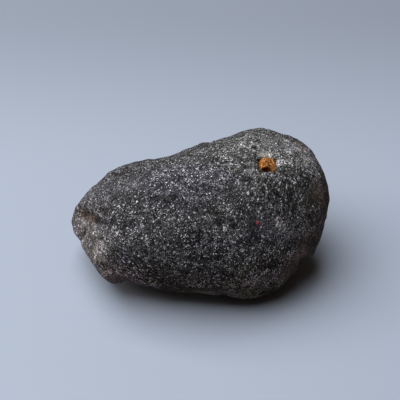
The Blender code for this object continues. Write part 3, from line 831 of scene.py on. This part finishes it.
def patch_group():
    """Patch: a soft egg-shaped area with a ragged edge, 1 inside and 0 outside."""
    tree, entry, leave = new_group("patch", {
        "Place": ("Vector", (0, 0, 0)), "Middle": ("Vector", (0, 0, 0)), "Reach": ("Vector", (1, 1, 1)),
        "Turn": ("Float", 0.0), "Ragged": ("Float", 0.5), "Soft": ("Float", 0.5)}, ("Mask",))
    offset = vector_calc(tree, "SUBTRACT", {0: entry["Place"], 1: entry["Middle"]})
    aligned = add_node(tree, "VectorRotate", {"Vector": offset, "Angle": entry["Turn"]},
                       rotation_type="Z_AXIS").outputs[0]
    scaled = vector_calc(tree, "DIVIDE", {0: aligned, 1: entry["Reach"]})
    away = add_node(tree, "VectorMath", {0: scaled}, operation="LENGTH").outputs["Value"]
    noise = add_node(tree, "TexNoise", {"Vector": entry["Place"], **PATCH_RAG}).outputs[0]
    rag = calc(tree, "MULTIPLY", calc(tree, "SUBTRACT", noise, 0.5), entry["Ragged"])
    edge = calc(tree, "SUBTRACT", 1.0, entry["Soft"])
    tree.links.new(ramp(tree, calc(tree, "ADD", away, rag), edge, 1.0, 1.0, 0.0), leave["Mask"])
    return tree


def face_place(tree):
    """Object coordinates in millimetres along, up and out of the leaning face, from its middle."""
    place = add_node(tree, "TexCoord").outputs["Object"]
    start = lean_axes() @ -np.array(CENTRE)
    return add_node(tree, "Mapping", {"Vector": place, "Location": tuple(start),
                                      "Rotation": (math.radians(LEAN_DEG - 90), 0, 0),
                                      "Scale": (1 / MM,) * 3}).outputs[0]


def object_axis(tree, axis):
    """One of the Object coordinates, in metres."""
    place = add_node(tree, "TexCoord").outputs["Object"]
    return add_node(tree, "SeparateXYZ", {0: place}).outputs[axis]


def by_height(tree, height, low, high, start, end):
    """A smooth rise from start to end between two heights in millimetres above the table."""
    return ramp(tree, height, low * MM, high * MM, start, end)


def drawn_out(tree, face, slant, stretch):
    """The face's coordinates with the pattern drawn out by a stretch along a slant in degrees."""
    aligned = add_node(tree, "VectorRotate", {"Vector": face, "Angle": -math.radians(slant)},
                       rotation_type="Z_AXIS").outputs[0]
    return vector_calc(tree, "MULTIPLY", {0: aligned, 1: (1 / stretch, 1.0, 1.0)})


def grit(tree, groups, face, slant, stretch, size, detail, bend):
    """Grit on the face, drawn out along a slant where its stretch isn't 1."""
    place = face if stretch == 1.0 else drawn_out(tree, face, slant, stretch)
    return use_group(tree, groups["grit"], {
        "Place": place, "Size": size, "Detail": detail, "Bend": bend}, "Grit")


def patch(tree, groups, face, middle, reach, turn, ragged, soft):
    """The mask of a patch on the face, turned by some degrees."""
    return use_group(tree, groups["patch"], {
        "Place": face, "Middle": middle, "Reach": reach, "Turn": -math.radians(turn),
        "Ragged": ragged, "Soft": soft}, "Mask")


def weighted(tree, grits, weights):
    """The sum of each named grit, less a half, times its weight."""
    total = 0.0
    for name, weight in weights.items():
        total = calc(tree, "MULTIPLY_ADD", calc(tree, "SUBTRACT", grits[name], 0.5), weight, total)
    return total


def new_material(name):
    """A node material of that name, its node tree and its shader."""
    mat = bpy.data.materials.new(name)
    mat.use_nodes = True
    return mat, mat.node_tree, mat.node_tree.nodes["Principled BSDF"]


def finish_surface(tree, shader, colour, roughness, relief):
    """Colour, roughness, a faint shine, and bumps whose height is in millimetres."""
    tree.links.new(colour, shader.inputs["Base Color"])
    tree.links.new(roughness, shader.inputs["Roughness"])
    shader.inputs["Specular IOR Level"].default_value = SHINE
    bump = add_node(tree, "Bump", {"Height": relief, "Distance": MM, "Strength": 1.0})
    tree.links.new(bump.outputs[0], shader.inputs["Normal"])


def frost_painted_light_and_tint(tree, groups, face, height):
    """The glass's frost and its tint, which change with the height and in soft ragged areas. The rise towards
    the top and some of the areas are painted light and shade.
    """
    # frost, paler towards the top as painted light from above
    frost_and_painted_light = by_height(tree, height, *FROST_AND_PAINTED_TOP_LIGHT)
    tint = blend(tree, by_height(tree, height, *WARM_TO_FACE), WARM_TINT, FACE_TINT)
    tint = blend(tree, by_height(tree, height, *FACE_TO_TOP), tint, TOP_TINT)
    for *area, times in SHADES:
        frost_and_painted_light = times_inside(tree, frost_and_painted_light, patch(tree, groups, face, *area), times)
    for middle, reach, times in SMALL_SHADES:
        mask = patch(tree, groups, face, middle, reach, *SMALL_EDGE)
        frost_and_painted_light = times_inside(tree, frost_and_painted_light, mask, times)
    for *area, times, stain_and_light_tint, strength in STAINS_AND_PAINTED_LIGHT:
        mask = patch(tree, groups, face, *area)
        frost_and_painted_light = times_inside(tree, frost_and_painted_light, mask, times)
        tint = blend(tree, calc(tree, "MULTIPLY", mask, strength), tint, (*stain_and_light_tint, 1))
    return frost_and_painted_light, tint


def grain_power(tree, groups, face, height, grits):
    """The sum of noises that the paleness is e to the power of."""
    fine = weighted(tree, grits, FINE)
    fine = calc(tree, "MULTIPLY", fine, ramp(tree, grits["blots"], *BLOTS_TO_FINE))
    # bright dashes, partly painted glints
    for slant in DASH_SLANTS:
        place = drawn_out(tree, face, slant, SPOT_STRETCH)
        dashes = use_group(tree, groups["flecks"], {"Place": place, **DASHES}, "Uneven")
        fine = calc(tree, "MULTIPLY_ADD", dashes, DASH_WEIGHT, fine)
    coarse = weighted(tree, grits, COARSE)
    for middle, reach, slant in STREAKS:
        mask = patch(tree, groups, face, middle, reach, 0.0, *STREAK_EDGE)
        streaks = calc(tree, "SUBTRACT", grit(tree, groups, face, slant, *STREAK_GRIT), 0.5)
        coarse = calc(tree, "MULTIPLY_ADD", calc(tree, "MULTIPLY", streaks, mask), STREAK_WEIGHT, coarse)
        fine = times_inside(tree, fine, mask, STREAK_GRAIN)
    power = calc(tree, "ADD", fine, coarse)
    power = calc(tree, "MULTIPLY", power, by_height(tree, height, *GRAIN_FADE))
    for middle, reach, turn, times in GRAIN_AREAS:
        mask = patch(tree, groups, face, middle, reach, turn, *GRAIN_EDGE)
        power = times_inside(tree, power, mask, times)
    return power


def glass_material(groups):
    """Frosted dark glass.

    Paleness is the frost of the place, with painted light and shade in it, times e to a sum of
    noises, which gives many dark gaps and few bright crests.  Flecks and flakes are paler still,
    partly as painted glints, and the palest grains lose the tint.
    """
    mat, tree, shader = new_material("frosted_glass")
    face = face_place(tree)
    height = object_axis(tree, "Z")
    grits = {name: grit(tree, groups, face, *kind) for name, kind in GLASS_GRIT.items()}
    frost_and_painted_light, tint = frost_painted_light_and_tint(tree, groups, face, height)
    power = grain_power(tree, groups, face, height, grits)
    level = calc(tree, "MULTIPLY", calc(tree, "EXPONENT", power), frost_and_painted_light)
    # bright flakes, partly painted glints
    for middle, size, times in GLINT_FLAKES:
        reach = (size, size * GLINT_FLAKE_TALL, GLINT_FLAKE_DEEP)
        level = times_inside(tree, level, patch(tree, groups, face, middle, reach, 0.0, *GLINT_FLAKE_EDGE), times)
    # pale flecks, partly painted glints
    place = drawn_out(tree, face, FLECK_SLANT, SPOT_STRETCH)
    flecks = use_group(tree, groups["flecks"], {"Place": place, **FLECKS}, "Mask")
    flecks = calc(tree, "MULTIPLY", flecks, ramp(tree, grits["blots"], *BLOTS_TO_FLECKS))
    level = calc(tree, "MINIMUM", calc(tree, "ADD", level, flecks), MOST_PALENESS)
    tint = blend(tree, ramp(tree, level, *PALENESS_TO_TINT), tint, PALE_TINT)
    mottle = blend(tree, ramp(tree, grits["mottle"], *MOTTLE_TO_OLIVE), PURPLISH, OLIVE)
    mottle = blend(tree, by_height(tree, height, *MOTTLE_FADE), WHITE, mottle)
    tint = blend(tree, 1.0, tint, mottle, "MULTIPLY")
    colour = vector_calc(tree, "SCALE", {0: tint, "Scale": level})
    colour = blend(tree, patch(tree, groups, face, *RED_SPECK), colour, RED)
    roughness = ramp(tree, grits["grains"], *GRAINS_TO_ROUGHNESS)
    finish_surface(tree, shader, colour, roughness, weighted(tree, grits, GLASS_BUMPS))
    return mat


def clay_material(groups):
    """Orange clay: sandy grains with paler crests, dark gaps and painted shade in one hollow."""
    mat, tree, shader = new_material("laterite_clay")
    face = face_place(tree)
    grits = {name: grit(tree, groups, face, *kind) for name, kind in CLAY_GRIT.items()}
    colour = blend(tree, ramp(tree, grits["grains"], *GRAINS_TO_ORANGE), CLAY_DARK, CLAY_ORANGE)
    colour = blend(tree, ramp(tree, grits["dust"], *DUST_TO_PALE), colour, CLAY_PALE)
    # painted shade in the lower hollow
    colour = blend(tree, patch(tree, groups, face, *CLAY_PAINTED_SHADE), colour, CLAY_DARK)
    roughness = ramp(tree, grits["dust"], *DUST_TO_ROUGHNESS)
    finish_surface(tree, shader, colour, roughness, weighted(tree, grits, CLAY_BUMPS))
    return mat


def table_material():
    """Pale blue-grey card, a little darker towards the back: painted fall-off of the light."""
    mat, tree, shader = new_material("table_card")
    back = ramp(tree, object_axis(tree, "Y"), *BACK_TO_FAR)
    tree.links.new(blend(tree, back, CARD_NEAR, CARD_FAR), shader.inputs["Base Color"])
    shader.inputs["Roughness"].default_value = CARD_ROUGHNESS
    return mat


# ---- camera, light, table ----------------------------------------------------------------------
def add_camera():
    """A long lens square to the broad face, aimed near the middle of the stone."""
    data = bpy.data.cameras.new("camera")
    data.lens = LENS
    data.sensor_width = SENSOR
    data.clip_start = NEAREST
    data.clip_end = FARTHEST
    along, up, out = (Vector(axis) for axis in lean_axes())
    aim = Vector(CENTRE) * MM + up * AIM_UP + along * AIM_ALONG
    camera = add_object("camera", data)
    camera.location = aim + out * (FRAME_WIDTH * LENS / SENSOR)
    camera.rotation_euler = (math.radians(90 - LEAN_DEG), 0, 0)
    bpy.context.scene.camera = camera


def add_lights():
    """A big soft window over the table and a weak warm light low on the left, in a dim room.

    The room's glow is warm, but the room itself is seen as plain grey.
    """
    world = bpy.data.worlds.new("room")
    bpy.context.scene.world = world
    world.use_nodes = True
    tree = world.node_tree
    seen = add_node(tree, "LightPath").outputs["Is Camera Ray"]
    tree.links.new(blend(tree, seen, ROOM_GLOW, BACKDROP), tree.nodes["Background"].inputs["Color"])
    for place, size, watts, colour in LIGHTS:
        data = bpy.data.lights.new("window", "AREA")
        data.shape = "RECTANGLE"
        data.size, data.size_y = size
        data.energy = watts
        data.color = colour
        lamp = add_object("window", data)
        lamp.location = place
        lamp.rotation_euler = (-Vector(place)).to_track_quat("-Z", "Y").to_euler()


def add_table():
    """The flat table top, which isn't part of the object."""
    corners = ((-TABLE, -TABLE), (TABLE, -TABLE), (TABLE, TABLE), (-TABLE, TABLE))
    mesh = bpy.data.meshes.new("table_top")
    mesh.from_pydata([(x, y, 0.0) for x, y in corners], [], [(0, 1, 2, 3)])
    mesh.materials.append(table_material())
    add_object("table_top", mesh)


def build():
    """Camera, lights and table first, then each piece on its body, with its node's part from model.glb
    hidden.
    """
    bpy.context.scene.view_settings.view_transform = "Standard"
    add_camera()
    add_lights()
    add_table()
    groups = {"grit": grit_group(), "flecks": flecks_group(), "patch": patch_group()}
    for name, (points, quads), finish, node, slot in (
        ("stone_skin", stone_skin(), glass_material(groups), "stone", "tektite_glass"),
        ("clay_plug", clay_skin(), clay_material(groups), "pit_clay", "laterite_clay"),
    ):
        piece = add_mesh(name, points, quads, finish)
        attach(piece, "root")
        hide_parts(node)


build()
